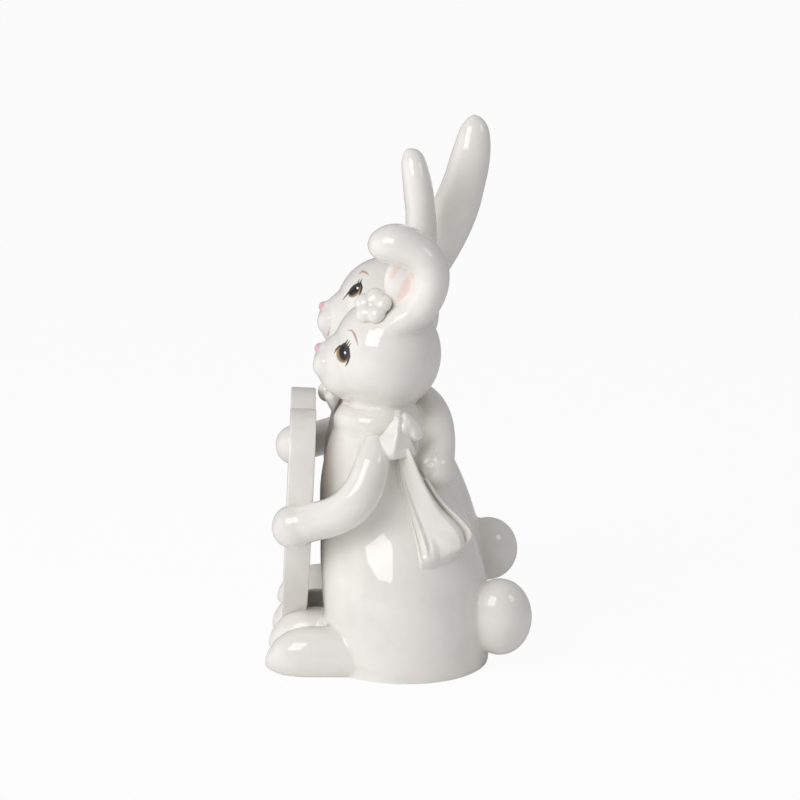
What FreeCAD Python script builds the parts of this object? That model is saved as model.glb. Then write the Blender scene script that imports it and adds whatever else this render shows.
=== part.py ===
import FreeCAD, Part
import math
import os
from FreeCAD import Vector

# A glazed porcelain pair of rabbits, a doe and a buck, who stand side by side and hold a heart
# between them. The parts are cast one by one and luted together before firing.
# Millimetres, +Z up. The rabbits look along -Y, the doe stands at +X and the buck at -X, and
# the origin is on the ground in the middle under the pair.

# Sizes of the pair
pair_spacing = 50.0
cast_wall = 3.5
vent_diameter = 10.0
foot_ring_width = 4.0
foot_ring_depth = 1.2
tool_overrun = 400.0
oval_points = 8
egg_latitudes = (-84, -62, -33, 0, 33, 62, 84)

# Gowns: height of the neck seat, half depth and half width
doe_gown_height = 110.0
buck_gown_height = 119.0
gown_half_depth = 35.0
gown_half_width = 37.0

# Heads
head_half_depth = 22.0
head_half_width = 24.0
head_half_height = 23.3
head_rise = 17.3
head_lean = 5.4
snout_radius = 16.0
snout_half_length = 19.0
snout_forward = 10.6
snout_drop = 5.7
snout_tilt_angle = 8.0
cheek_radius = 6.0
cheek_spacing = 9.0
cheek_forward = 23.5
cheek_drop = 4.5
chin_radius = 4.8
chin_forward = 21.1
chin_drop = 11.8
nose_half_width = 3.6
nose_radius = 2.4
nose_forward = 26.8
nose_rise = 2.0

# Upright ears: length from the seat inside the head to the tip, half width, half thickness
doe_ear_length = 68.0
doe_ear_half_width = 9.5
doe_ear_half_depth = 6.6
buck_ear_length = 80.0
buck_far_ear_length = 72.5
buck_ear_half_width = 9.0
buck_ear_half_depth = 8.6
buck_ear_lean_angle = 19.0
ear_hollow_depth = 2.4
ear_spacing = 11.0
ear_splay = 2.0
doe_ear_bow = 3.4
doe_ear_seat_back = 10.7
doe_ear_seat_rise = 10.5
doe_ear_tip_out = 3.6
doe_ear_tip_forward = 0.5
buck_ear_bow = 6.4
buck_ear_seat_back = 11.7
buck_ear_seat_rise = 7.9

# Folded ear of the doe: rise above its seat, forward reach, roll radius
fold_rise = 31.0
fold_reach = 20.0
fold_radius = 8.0
fold_half_width = 10.5
fold_out = 14.5
fold_seat_back = 8.6
fold_seat_rise = 15.5
fold_leaf_half_width = 4.6
fold_leaf_half_depth = 10.0
fold_leaf_half_height = 11.5
fold_leaf_in = 2.0
fold_leaf_forward = 2.0
fold_leaf_rise = 15.0

# Arms
arm_radius = 7.9
paw_radius = 9.0
elbow_drop = 9.2
elbow_out = 8.6
hug_radius = 7.2
hug_paw_radius = 8.4
hug_back = 7.0
hug_rise = 8.0
hug_paw_drop = 33.0
hug_paw_out = 13.0
hug_paw_back = 13.0
back_hug_bend = 3.5
paw_overhang = 3.0
doe_hug_paw_drop = 40.0

# Feet and tails
foot_half_width = 10.6
foot_length = 42.0
foot_crest = 18.5
foot_sole_sink = 1.6
toe_reach = 51.5
doe_stance_gap = 27.0
doe_stance_shift = 6.0
buck_stance_gap = 39.0
buck_stance_shift = 4.0
doe_tail_radius = 11.8
doe_tail_half_height = 14.8
doe_tail_height = 20.3
doe_tail_out = 13.5
buck_tail_radius = 12.8
buck_tail_height = 33.0
doe_tail_stand_off = 5.0
buck_tail_stand_off = 1.25

# Heart
heart_half_width = 46.0
heart_top = 104.0
heart_tip_height = 7.0
heart_widest_height = 80.0
heart_notch_height = 89.0
heart_thickness = 10.4
heart_edge_round = 2.4
heart_corner_round = 3.0
heart_stand_off = 43.0
heart_lean_angle = 3.0
doe_paw_height = 61.0
buck_paw_height = 75.0

# Scarf of the doe
scarf_band_drop = 10.5
scarf_band_radius = 4.1
scarf_back = 8.7
scarf_radius = 15.0
scarf_tail_thickness = 3.6
scarf_tail_drop = 44.0
scarf_tail_start = 9.0
scarf_tail_forward = 3.2
scarf_tail_sink = 6.0
bow_knot_radius = 3.7
bow_out = 22.4
bow_drop = 12.0
bow_back = 1.2
front_loop_radius = 6.1
front_loop_half_length = 7.5
front_loop_forward = 4.8
front_loop_drop = 1.0
rear_loop_radius = 5.4
rear_loop_half_length = 6.2
rear_loop_back = 4.2
rear_loop_rise = 2.8
rear_loop_inset = 2.6

# Bow tie of the buck
tie_drop = 18.5
tie_knot_radius = 4.2
tie_loop_length = 15.0
tie_loop_half_height = 6.2
tie_loop_half_depth = 3.6
tie_forward = 29.4

# Flower
flower_petals = 5
petal_radius = 3.9
petal_half_depth = 2.0
petal_ring_radius = 4.3
flower_center_radius = 2.6
flower_center_half_depth = 3.0
flower_stand_off = 2.0
flower_out = 15.0
flower_height = 23.8
flower_forward = 6.0

# Shares of gown height, half depth and half width: height, front, back, half width
gown_shares = [
    (0.00, -0.91, 0.97, 0.955),
    (0.05, -0.95, 1.05, 1.00),
    (0.18, -0.95, 1.05, 1.00),
    (0.36, -0.96, 0.94, 0.935),
    (0.545, -0.96, 0.69, 0.785),
    (0.655, -0.95, 0.47, 0.675),
    (0.76, -0.89, 0.34, 0.59),
    (0.855, -0.80, 0.25, 0.505),
    (0.945, -0.62, 0.08, 0.36),
    (1.00, -0.53, -0.02, 0.28),
]
cavity_top_share = 0.86
# Shares along an upright ear: height, half width, half depth, backward bow
upright_ear_shares = [
    (0.00, 0.72, 0.86, 0.00),
    (0.20, 0.86, 0.98, 0.60),
    (0.42, 1.00, 1.00, 1.00),
    (0.62, 0.95, 0.94, 1.00),
    (0.80, 0.80, 0.80, 0.60),
    (0.91, 0.60, 0.60, 0.20),
    (0.975, 0.34, 0.34, 0.00),
    (1.00, 0.12, 0.12, 0.00),
]
ear_hollow_share = 0.95
ear_hollow_middle_share = 0.60
ear_hollow_reach_share = 0.40
# Shares of the folded ear's path: forward reach, rise, roll radius, half width
fold_shares = [
    (0.48, -0.16, 0.62, 0.62),
    (0.20, -0.03, 0.76, 0.72),
    (-0.12, 0.10, 0.86, 0.80),
    (-0.37, 0.32, 0.90, 0.90),
    (-0.45, 0.61, 0.93, 1.00),
    (-0.22, 0.86, 1.00, 1.03),
    (0.20, 0.975, 1.05, 1.00),
    (0.47, 0.955, 0.93, 0.88),
    (0.62, 0.905, 0.70, 0.66),
    (0.70, 0.87, 0.44, 0.42),
    (0.73, 0.855, 0.14, 0.14),
]
# Shares along a foot from the toe: way back, half width, crest height
foot_shares = [
    (0.00, 0.12, 0.22),
    (0.02, 0.42, 0.38),
    (0.07, 0.70, 0.60),
    (0.17, 0.92, 0.86),
    (0.32, 1.00, 1.00),
    (0.56, 0.98, 1.00),
    (0.80, 0.80, 0.88),
    (1.00, 0.35, 0.60),
]
# Shares along a holding arm: way from shoulder to paw, drop, outward bend, radius
arm_shares = [
    (0.00, 0.00, 0.00, 0.80),
    (0.15, 0.45, 0.72, 0.93),
    (0.31, 0.85, 0.98, 1.00),
    (0.485, 1.00, 1.00, 1.03),
    (0.66, 0.85, 0.78, 1.00),
    (0.82, 0.46, 0.45, 0.98),
    (1.00, 0.00, 0.00, 0.98),
]
# Shares along a hugging arm: way from shoulder to paw, backward bend, rise, radius
hug_shares = [
    (0.00, 0.00, 0.00, 0.90),
    (0.20, 0.66, 0.50, 0.97),
    (0.42, 0.96, 0.88, 1.00),
    (0.64, 0.95, 1.00, 1.00),
    (0.84, 0.60, 0.70, 1.02),
    (1.00, 0.00, 0.00, 1.05),
]
# Shares along a loop of the bow tie: way out, half height, half depth
tie_loop_shares = [
    (0.05, 0.40, 0.60),
    (0.30, 0.62, 0.85),
    (0.60, 0.95, 1.00),
    (0.82, 0.98, 0.90),
    (0.95, 0.70, 0.60),
    (1.00, 0.30, 0.20),
]
# Shares of the scarf tail's drop, backward and downward from the knot: left edge, foot, right edge
front_tail_shares = (
    [(-0.04, 0.05), (0.03, -0.34), (0.13, -0.64), (0.20, -1.00)],
    [(0.33, -0.93), (0.50, -0.91), (0.61, -0.78)],
    [(0.60, -0.70), (0.49, -0.61), (0.32, -0.41), (0.12, 0.05)],
)
rear_tail_shares = (
    [(0.02, 0.05), (0.16, -0.34), (0.40, -0.72), (0.50, -0.86)],
    [(0.62, -0.84), (0.68, -0.76)],
    [(0.70, -0.66), (0.44, -0.46), (0.26, -0.16), (0.14, 0.05)],
)
# Shoulders as shares of the gown: half width outward, half depth back, height
holding_shoulder_shares = (0.46, -0.26, 0.86)
hugging_shoulder_shares = (0.40, 0.00, 0.88)


def oval(center, first, second):
    """A smooth closed wire round the center, through the tips of two half axes."""
    points = []
    for count in range(oval_points):
        turn = 2 * math.pi * count / oval_points
        points.append(center + first * math.cos(turn) + second * math.sin(turn))
    curve = Part.BSplineCurve()
    curve.interpolate(Points=points, PeriodicFlag=True)
    return Part.Wire([curve.toShape()])


def ring(center, half_x, half_y):
    """A level oval wire, with its seam always on the +X side."""
    return oval(center, Vector(half_x, 0, 0), Vector(0, half_y, 0))


def skinned(stations, across):
    """A smooth solid through stations of (center, half across, half thick).

    Each oval is square to the path, and its crosswise direction is carried on from the one before.
    """
    rings = []
    side = across
    for place, (center, half_across, half_thick) in enumerate(stations):
        before = stations[max(place - 1, 0)][0]
        after = stations[min(place + 1, len(stations) - 1)][0]
        axis = (after - before).normalize()
        side = (side - axis * side.dot(axis)).normalize()
        rings.append(oval(center, side * half_across, axis.cross(side) * half_thick))
    return Part.makeLoft(rings, True, False)


def egg(center, half_length, half_across, half_thick, axis, across):
    """An egg with two like ends, skinned from pole to pole along its axis."""
    stations = []
    for latitude in egg_latitudes:
        turn = math.radians(latitude)
        place = center + Vector(axis).normalize() * (half_length * math.sin(turn))
        stations.append((place, half_across * math.cos(turn), half_thick * math.cos(turn)))
    return skinned(stations, across)


def spheroid(center, radius, half_length, axis=Vector(0, 0, 1)):
    across = Vector(0, 1, 0) if abs(axis.x) > abs(axis.y) else Vector(1, 0, 0)
    return egg(center, half_length, radius, radius, axis, across)


def half_space(side):
    """All that lies on one side of the plane where the two rabbits meet."""
    block = Part.makeBox(tool_overrun, 2 * tool_overrun, 2 * tool_overrun)
    block.translate(Vector(0 if side > 0 else -tool_overrun, -tool_overrun, -tool_overrun))
    return block


def above_ground(shape):
    block = Part.makeBox(2 * tool_overrun, 2 * tool_overrun, tool_overrun)
    block.translate(Vector(-tool_overrun, -tool_overrun, 0))
    return shape.common(block)


def gown_loft(center_x, height, grow, first=0, top_share=1.0, floor=0.0):
    """The gown's outside, grown or shrunk by a wall, up to a share of its height."""
    rings = []
    for high, front, back, wide in gown_shares[first:]:
        if high > top_share:
            break
        mid = (front + back) / 2 * gown_half_depth
        half_deep = (back - front) / 2 * gown_half_depth + grow
        half_wide = wide * gown_half_width + grow
        rings.append(ring(Vector(center_x, mid, max(high * height, floor)), half_wide, half_deep))
    return Part.makeLoft(rings, True, False)


def gown(side, height):
    """One hollow cast body with its vent hole and foot ring, flat where it meets the other."""
    center_x = side * pair_spacing / 2
    outside = gown_loft(center_x, height, 0).common(half_space(side))
    cavity = gown_loft(center_x, height, -cast_wall, 1, cavity_top_share, cast_wall + foot_ring_depth)
    keep = half_space(side)
    keep.translate(Vector(side * cast_wall, 0, 0))
    cavity = cavity.common(keep)
    first = gown_shares[0]
    mid = (first[1] + first[2]) / 2 * gown_half_depth
    half_deep = (first[2] - first[1]) / 2 * gown_half_depth - foot_ring_width
    half_wide = first[3] * gown_half_width - foot_ring_width
    recess = Part.Face(ring(Vector(center_x, mid, 0), half_wide, half_deep))
    recess = recess.extrude(Vector(0, 0, foot_ring_depth))
    keep_ring = half_space(side)
    keep_ring.translate(Vector(side * foot_ring_width, 0, 0))
    recess = recess.common(keep_ring)
    vent = Part.makeCylinder(vent_diameter / 2, 3 * cast_wall, Vector(center_x, mid, 0))
    return outside, outside.cut(cavity).cut(recess).cut(vent)


def head_center(side, height):
    return Vector(side * pair_spacing / 2, -head_lean, height + head_rise)


def head(side, height):
    """Skull, snout, two cheeks, chin and nose button."""
    middle = head_center(side, height)
    across = Vector(1, 0, 0)
    tilt = math.radians(snout_tilt_angle)
    snout_way = Vector(0, -math.cos(tilt), -math.sin(tilt))
    snout_at = middle + Vector(0, -snout_forward, -snout_drop)
    forward = Vector(0, -1, 0)
    skull = egg(middle, head_half_depth, head_half_width, head_half_height, forward, across)
    shape = skull.fuse(spheroid(snout_at, snout_radius, snout_half_length, snout_way))
    for way in (1, -1):
        cheek_at = middle + Vector(way * cheek_spacing / 2, -cheek_forward, -cheek_drop)
        shape = shape.fuse(Part.makeSphere(cheek_radius, cheek_at))
    chin = Part.makeSphere(chin_radius, middle + Vector(0, -chin_forward, -chin_drop))
    nose_at = middle + Vector(0, -nose_forward, nose_rise)
    nose = spheroid(nose_at, nose_radius, nose_half_width, across)
    return shape.fuse(chin).fuse(nose)


def upright_ear(foot, tip, half_width, half_depth, backward_bow):
    """A leaf-shaped ear with a shallow hollow down its front."""
    reach = tip - foot
    back = Vector(0, 1, 0)
    stations = []
    for along, wide, deep, bow in upright_ear_shares:
        center = foot + reach * along + back * (backward_bow * bow)
        stations.append((center, half_width * wide, half_depth * deep))
    ear = skinned(stations, Vector(1, 0, 0))
    scoop_radius = half_width * ear_hollow_share
    middle = foot + reach * ear_hollow_middle_share
    scoop_center = middle - back * (half_depth + scoop_radius - ear_hollow_depth)
    return ear.cut(spheroid(scoop_center, scoop_radius, reach.Length * ear_hollow_reach_share, reach))


def folded_ear(seat):
    """The ear that rises from the side of the head and folds forward over its own inner leaf."""
    stations = []
    for forward, rise, roll, wide in fold_shares:
        center = seat + Vector(0, -forward * fold_reach, rise * fold_rise)
        stations.append((center, wide * fold_half_width, roll * fold_radius))
    roll = skinned(stations, Vector(1, 0, 0))
    leaf_at = seat + Vector(-fold_leaf_in, -fold_leaf_forward, fold_leaf_rise)
    upward = Vector(0, 0, 1)
    backward = Vector(0, 1, 0)
    leaf = egg(
        leaf_at, fold_leaf_half_height, fold_leaf_half_depth, fold_leaf_half_width, upward, backward
    )
    return roll.fuse(leaf)


def bent_limb(start, end, first_way, second_way, shares, radius, across):
    """A round limb from start to end that bends by shares of two sideways vectors."""
    stations = []
    for along, first, second, thick in shares:
        center = start + (end - start) * along + first_way * first + second_way * second
        stations.append((center, radius * thick, radius * thick))
    return skinned(stations, across)


def buck_ear(middle, way, length):
    """One of the buck's ears, leaning back from the crown."""
    foot_place = middle + Vector(ear_spacing, buck_ear_seat_back, buck_ear_seat_rise)
    lean = math.radians(buck_ear_lean_angle)
    reach = Vector(ear_splay, length * math.sin(lean), length * math.cos(lean))
    tip = foot_place + reach
    ear = upright_ear(foot_place, tip, buck_ear_half_width, buck_ear_half_depth, buck_ear_bow)
    return ear if way > 0 else ear.mirror(middle, Vector(1, 0, 0))


def holding_arm(side, height, paw_height):
    """The outer arm, from the shoulder round to a paw on the heart's edge."""
    start = shoulder(side, height, 1, holding_shoulder_shares)
    end = Vector(side * (heart_edge(paw_height) + paw_overhang), heart_lean(paw_height), paw_height)
    drop_way = Vector(0, elbow_drop / math.sqrt(2), -elbow_drop / math.sqrt(2))
    out_way = Vector(side * elbow_out, 0, 0)
    limb = bent_limb(start, end, drop_way, out_way, arm_shares, arm_radius, Vector(1, 0, 0))
    return limb.fuse(Part.makeSphere(paw_radius, end))


def shoulder(side, height, outward, shares):
    """A point on the gown's shoulder, on the outer side (1) or on the partner's side (-1)."""
    out, back, high = shares
    center_x = side * pair_spacing / 2
    return Vector(center_x + side * outward * out * gown_half_width, back * gown_half_depth, high * height)


def heart_lean(height):
    """Where the leaning heart's middle plane stands at a height."""
    return -heart_stand_off + math.tan(math.radians(heart_lean_angle)) * (height - heart_widest_height / 2)


def heart_edge(height):
    """The half width of the heart below its widest point, from the tip's arc."""
    drop = heart_widest_height - heart_tip_height
    bend = (heart_half_width**2 + drop**2) / (2 * heart_half_width)
    return heart_half_width - bend + math.sqrt(bend**2 - (heart_widest_height - height) ** 2)


def heart():
    """Four arcs, two to a side, drawn upright, thickened, rounded and leaned back."""
    widest = {side: Vector(side * heart_half_width, 0, heart_widest_height) for side in (1, -1)}
    notch = Vector(0, 0, heart_notch_height)
    tip = Vector(0, 0, heart_tip_height)
    half_way = (heart_widest_height + heart_tip_height) / 2
    crown = {side: Vector(side * heart_half_width / 2, 0, heart_top) for side in (1, -1)}
    flank = {side: Vector(side * heart_edge(half_way), 0, half_way) for side in (1, -1)}
    arcs = [
        Part.Arc(notch, crown[1], widest[1]),
        Part.Arc(widest[1], flank[1], tip),
        Part.Arc(tip, flank[-1], widest[-1]),
        Part.Arc(widest[-1], crown[-1], notch),
    ]
    outline = Part.Face(Part.Wire([arc.toShape() for arc in arcs]))
    outline.translate(Vector(0, -heart_thickness / 2, 0))
    plate = outline.extrude(Vector(0, heart_thickness, 0))
    corners = [
        edge for edge in plate.Edges
        if edge.BoundBox.YLength > heart_thickness / 2 and abs(edge.BoundBox.Center.x) < heart_corner_round
    ]
    plate = plate.makeFillet(heart_corner_round, corners)
    rims = [edge for edge in plate.Edges if edge.BoundBox.YLength < heart_edge_round / 2]
    plate = plate.makeFillet(heart_edge_round, rims)
    plate.translate(Vector(0, -heart_stand_off, 0))
    pivot = Vector(0, -heart_stand_off, heart_widest_height / 2)
    plate.rotate(pivot, Vector(1, 0, 0), -heart_lean_angle)
    return plate


def foot(center_x):
    """A rounded slipper, flat underneath."""
    stations = []
    for back, wide, high in foot_shares:
        crest = foot_crest * high
        center = Vector(center_x, -toe_reach + back * foot_length, crest / 2 - foot_sole_sink)
        stations.append((center, foot_half_width * wide, crest / 2 + foot_sole_sink))
    return above_ground(skinned(stations, Vector(1, 0, 0)))


def smooth_curve(points):
    curve = Part.BSplineCurve()
    curve.interpolate(points)
    return curve.toShape()


def cloth_tail(tail_shares, knot_y, knot_z):
    """A scarf tail's outline seen from the side, as a block right through the gown."""
    left, hem, right = [
        [Vector(0, knot_y + back * scarf_tail_drop, knot_z + down * scarf_tail_drop) for back, down in edge]
        for edge in tail_shares
    ]
    top = Part.makeLine(right[-1], left[0])
    foot_curve = smooth_curve([left[-1]] + hem + [right[0]])
    outline = Part.Face(Part.Wire([smooth_curve(left), foot_curve, smooth_curve(right), top]))
    outline.translate(Vector(pair_spacing / 2 + scarf_tail_start, 0, 0))
    return outline.extrude(Vector(gown_half_width, 0, 0))


def write(name, shape):
    """Exports the largest solid, without the crumbs that a cut can leave."""
    solid = max(shape.Solids, key=lambda each: each.Volume)
    solid.exportStep(os.path.join("parts", name + ".step"))
    box = solid.BoundBox
    print(name, solid.isValid(), round(solid.Volume), len(shape.Solids), [
        round(value, 1) for value in (box.XMin, box.XMax, box.YMin, box.YMax, box.ZMin, box.ZMax)
    ])


def seated(shape, *carriers):
    """What is left of a shape outside the pieces that it sits on."""
    for carrier in carriers:
        shape = shape.cut(carrier)
    return shape


def main():
    os.makedirs("parts", exist_ok=True)
    pieces = {}
    doe_outside, pieces["doe_body"] = gown(1, doe_gown_height)
    buck_outside, pieces["buck_body"] = gown(-1, buck_gown_height)
    bodies = doe_outside.fuse(buck_outside)
    plate = heart()
    pieces["heart"] = plate

    # Heads, over the neck seats
    doe_skull = head(1, doe_gown_height)
    buck_skull = head(-1, buck_gown_height)
    pieces["doe_head"] = seated(doe_skull, doe_outside)
    pieces["buck_head"] = seated(buck_skull, doe_skull, buck_outside)

    # Ears
    doe_middle = head_center(1, doe_gown_height)
    buck_middle = head_center(-1, buck_gown_height)
    fold = folded_ear(doe_middle + Vector(fold_out, fold_seat_back, fold_seat_rise))
    ear_foot = doe_middle + Vector(-ear_spacing, doe_ear_seat_back, doe_ear_seat_rise)
    ear_tip = ear_foot + Vector(-doe_ear_tip_out, -doe_ear_tip_forward, doe_ear_length)
    doe_upright = upright_ear(ear_foot, ear_tip, doe_ear_half_width, doe_ear_half_depth, doe_ear_bow)
    pieces["doe_ear_left"] = seated(fold, doe_skull)
    pieces["doe_ear_right"] = seated(doe_upright, doe_skull, fold)
    near_ear = buck_ear(buck_middle, 1, buck_ear_length)
    far_ear = buck_ear(buck_middle, -1, buck_far_ear_length)
    pieces["buck_ear_left"] = seated(near_ear, buck_skull, doe_skull, doe_upright)
    pieces["buck_ear_right"] = seated(far_ear, buck_skull)

    # Arms that hold the heart
    doe_limb = holding_arm(1, doe_gown_height, doe_paw_height)
    buck_limb = holding_arm(-1, buck_gown_height, buck_paw_height)
    pieces["doe_arm_left"] = seated(doe_limb, plate, bodies)
    pieces["buck_arm_right"] = seated(buck_limb, plate, bodies)

    # Arms round each other's backs
    hug_start = shoulder(-1, buck_gown_height, -1, hugging_shoulder_shares)
    hug_paw_height = doe_gown_height - hug_paw_drop
    hug_end = Vector(pair_spacing / 2 + hug_paw_out, hug_paw_back, hug_paw_height)
    back_way = Vector(0, 1, 0)
    bend_way = back_way * hug_back
    rise_way = Vector(0, 0, hug_rise)
    hug = bent_limb(hug_start, hug_end, bend_way, rise_way, hug_shares, hug_radius, back_way)
    hug = hug.fuse(Part.makeSphere(hug_paw_radius, hug_end))
    pieces["buck_arm_left"] = seated(hug, bodies, doe_skull)
    back_start = shoulder(1, doe_gown_height, -1, hugging_shoulder_shares)
    back_end = Vector(-pair_spacing / 2, hug_paw_back, buck_gown_height - doe_hug_paw_drop)
    bend_way = back_way * back_hug_bend
    level_way = Vector(0, 0, 0)
    back_hug = bent_limb(back_start, back_end, bend_way, level_way, hug_shares, hug_radius, back_way)
    back_hug = back_hug.fuse(Part.makeSphere(hug_paw_radius, back_end))
    pieces["doe_arm_right"] = seated(back_hug, hug, bodies)

    # Feet, in front of the gowns and round the heart's tip
    doe_stance = pair_spacing / 2 + doe_stance_shift
    buck_stance = -pair_spacing / 2 - buck_stance_shift
    doe_left_foot = foot(doe_stance + doe_stance_gap / 2)
    doe_right_foot = foot(doe_stance - doe_stance_gap / 2)
    pieces["doe_foot_left"] = seated(doe_left_foot, plate, bodies)
    pieces["doe_foot_right"] = seated(doe_right_foot, doe_left_foot, plate, bodies)
    pieces["buck_foot_left"] = seated(foot(buck_stance + buck_stance_gap / 2), plate, bodies)
    pieces["buck_foot_right"] = seated(foot(buck_stance - buck_stance_gap / 2), plate, bodies)

    # Tails
    doe_back = gown_shares[1][2] * gown_half_depth
    doe_tail_x = pair_spacing / 2 + doe_tail_out
    doe_tail_at = Vector(doe_tail_x, doe_back + doe_tail_stand_off, doe_tail_height)
    buck_tail_at = Vector(-pair_spacing / 2, doe_back + buck_tail_stand_off, buck_tail_height)
    doe_scut = spheroid(doe_tail_at, doe_tail_radius, doe_tail_half_height)
    pieces["doe_tail"] = seated(doe_scut, doe_outside)
    pieces["buck_tail"] = seated(Part.makeSphere(buck_tail_radius, buck_tail_at), buck_outside)

    # Scarf round the doe's neck, with its bow on her left shoulder
    band_at = Vector(pair_spacing / 2, -scarf_back, doe_gown_height - scarf_band_drop)
    band = Part.makeTorus(scarf_radius, scarf_band_radius, band_at)
    pieces["scarf_band"] = seated(band, doe_skull, hug, back_hug, doe_limb, bodies)
    knot_at = Vector(pair_spacing / 2 + bow_out, bow_back, doe_gown_height - bow_drop)
    knot = Part.makeSphere(bow_knot_radius, knot_at)
    front_at = knot_at + Vector(0, -front_loop_forward, -front_loop_drop)
    front_loop = spheroid(front_at, front_loop_radius, front_loop_half_length)
    rear_at = knot_at + Vector(-rear_loop_inset, rear_loop_back, rear_loop_rise)
    rear_loop = spheroid(rear_at, rear_loop_radius, rear_loop_half_length)
    neck_pieces = (band, doe_limb, hug, bodies, doe_skull)
    pieces["scarf_knot"] = seated(knot, *neck_pieces)
    pieces["scarf_loop_front"] = seated(front_loop, knot, *neck_pieces)
    pieces["scarf_loop_rear"] = seated(rear_loop, knot, *neck_pieces)

    # The scarf's two ends hang down over the gown
    wrap = gown_loft(pair_spacing / 2, doe_gown_height, scarf_tail_thickness)
    knot_y = knot_at.y - scarf_tail_forward
    knot_z = knot_at.z - scarf_tail_sink
    front_end = cloth_tail(front_tail_shares, knot_y, knot_z)
    rear_end = cloth_tail(rear_tail_shares, knot_y, knot_z)
    shell = seated(wrap, doe_outside)
    bow = (doe_limb, hug, knot, front_loop, rear_loop)
    pieces["scarf_tail_front"] = seated(shell.common(front_end), *bow)
    pieces["scarf_tail_rear"] = seated(shell.common(rear_end), front_end, *bow)

    # Bow tie of the buck
    tie_at = Vector(-pair_spacing / 2, -tie_forward, buck_gown_height - tie_drop)
    tie_knot = Part.makeSphere(tie_knot_radius, tie_at)
    pieces["tie_knot"] = seated(tie_knot, bodies, buck_skull)
    for name, way in (("tie_loop_left", 1), ("tie_loop_right", -1)):
        stations = []
        for along, high, deep in tie_loop_shares:
            center = tie_at + Vector(way * along * tie_loop_length, along * tie_knot_radius, 0)
            stations.append((center, tie_loop_half_height * high, tie_loop_half_depth * deep))
        loop = skinned(stations, Vector(0, 0, 1))
        pieces[name] = seated(loop, tie_knot, bodies, buck_skull, doe_skull)

    # Flower at the doe's temple
    out_way = Vector(flower_out, -flower_forward, flower_height).normalize()
    bloom_center = doe_middle + out_way * (head_half_height + flower_stand_off)
    turn = FreeCAD.Rotation(Vector(0, 0, 1), out_way)
    button = spheroid(bloom_center, flower_center_radius, flower_center_half_depth, out_way)
    bloom = None
    for count in range(flower_petals):
        around = 2 * math.pi * count / flower_petals
        spoke = Vector(petal_ring_radius * math.cos(around), petal_ring_radius * math.sin(around), 0)
        petal = spheroid(bloom_center + turn.multVec(spoke), petal_radius, petal_half_depth, out_way)
        bloom = petal if bloom is None else bloom.fuse(petal)
    pieces["flower_button"] = seated(button, doe_skull)
    pieces["flower_petals"] = seated(bloom, button, doe_skull, fold)

    for name, shape in pieces.items():
        write(name, shape)


main()
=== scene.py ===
import bmesh
import bpy
import math
from mathutils import Matrix, Vector
from mathutils.bvhtree import BVHTree


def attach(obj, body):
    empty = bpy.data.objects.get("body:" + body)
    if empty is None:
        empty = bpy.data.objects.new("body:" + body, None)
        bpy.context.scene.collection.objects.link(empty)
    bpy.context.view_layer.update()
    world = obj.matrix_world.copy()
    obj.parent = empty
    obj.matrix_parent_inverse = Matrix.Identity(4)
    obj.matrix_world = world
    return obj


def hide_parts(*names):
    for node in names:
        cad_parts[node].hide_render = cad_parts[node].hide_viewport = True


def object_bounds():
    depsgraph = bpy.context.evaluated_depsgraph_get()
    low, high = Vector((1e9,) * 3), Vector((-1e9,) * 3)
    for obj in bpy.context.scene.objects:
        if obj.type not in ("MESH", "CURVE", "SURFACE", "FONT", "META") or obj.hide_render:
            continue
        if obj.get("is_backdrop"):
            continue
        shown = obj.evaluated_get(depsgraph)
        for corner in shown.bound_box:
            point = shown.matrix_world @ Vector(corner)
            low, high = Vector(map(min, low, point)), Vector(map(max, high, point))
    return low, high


# A white glazed couple of rabbits with a heart. Lengths in the dictionaries are millimetres.
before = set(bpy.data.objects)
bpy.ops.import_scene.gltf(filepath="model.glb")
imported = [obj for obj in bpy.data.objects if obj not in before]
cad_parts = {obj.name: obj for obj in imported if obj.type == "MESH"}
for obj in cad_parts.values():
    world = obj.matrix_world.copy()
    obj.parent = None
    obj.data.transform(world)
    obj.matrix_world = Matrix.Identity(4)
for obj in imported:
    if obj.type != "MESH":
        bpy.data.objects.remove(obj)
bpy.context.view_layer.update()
scene = bpy.context.scene
mm = 0.001
# corners of balls and rings, rows put between two rows of a table, and how strongly one round smooths
fine = {
    "ball": {"segments": 64, "ring_count": 32},
    "ring": 48,
    "gownRing": 96,
    "ridged": 4,
    "between": 3,
    "soften": 0.5,
}
print("stage: frame loaded")


# small helpers
def dropSelection():
    if bpy.context.object and bpy.context.object.mode != "OBJECT":
        bpy.ops.object.mode_set(mode="OBJECT")
    bpy.ops.object.select_all(action="DESELECT")


def takeUp(piece):
    dropSelection()
    piece.select_set(True)
    bpy.context.view_layer.objects.active = piece


def shapeWith(piece, kind, **settings):
    takeUp(piece)
    modifier = piece.modifiers.new(kind.title(), kind)
    for key, value in settings.items():
        setattr(modifier, key, value)
    bpy.ops.object.modifier_apply(modifier=modifier.name)


def settle(piece, name):
    # the object goes back to the origin, with its place in its mesh
    takeUp(piece)
    bpy.ops.object.transform_apply(location=True, rotation=True, scale=True)
    piece.name = name
    piece.data.name = name
    return piece


def rowsBetween(rows, count):
    # more rows on a smooth curve through the rows of a table
    made = []
    for place in range(len(rows) - 1):
        a, b, c, d = [rows[min(max(place + step, 0), len(rows) - 1)] for step in (-1, 0, 1, 2)]
        for part in range(count):
            t = part / count
            row = []
            for p, q, r, s in zip(a, b, c, d):
                bend = 2 * p - 5 * q + 4 * r - s + t * (3 * q - p - 3 * r + s)
                row.append(q + t * (r - p + t * bend) / 2)
            made.append(row)
    made.append(list(rows[-1]))
    return made


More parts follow.
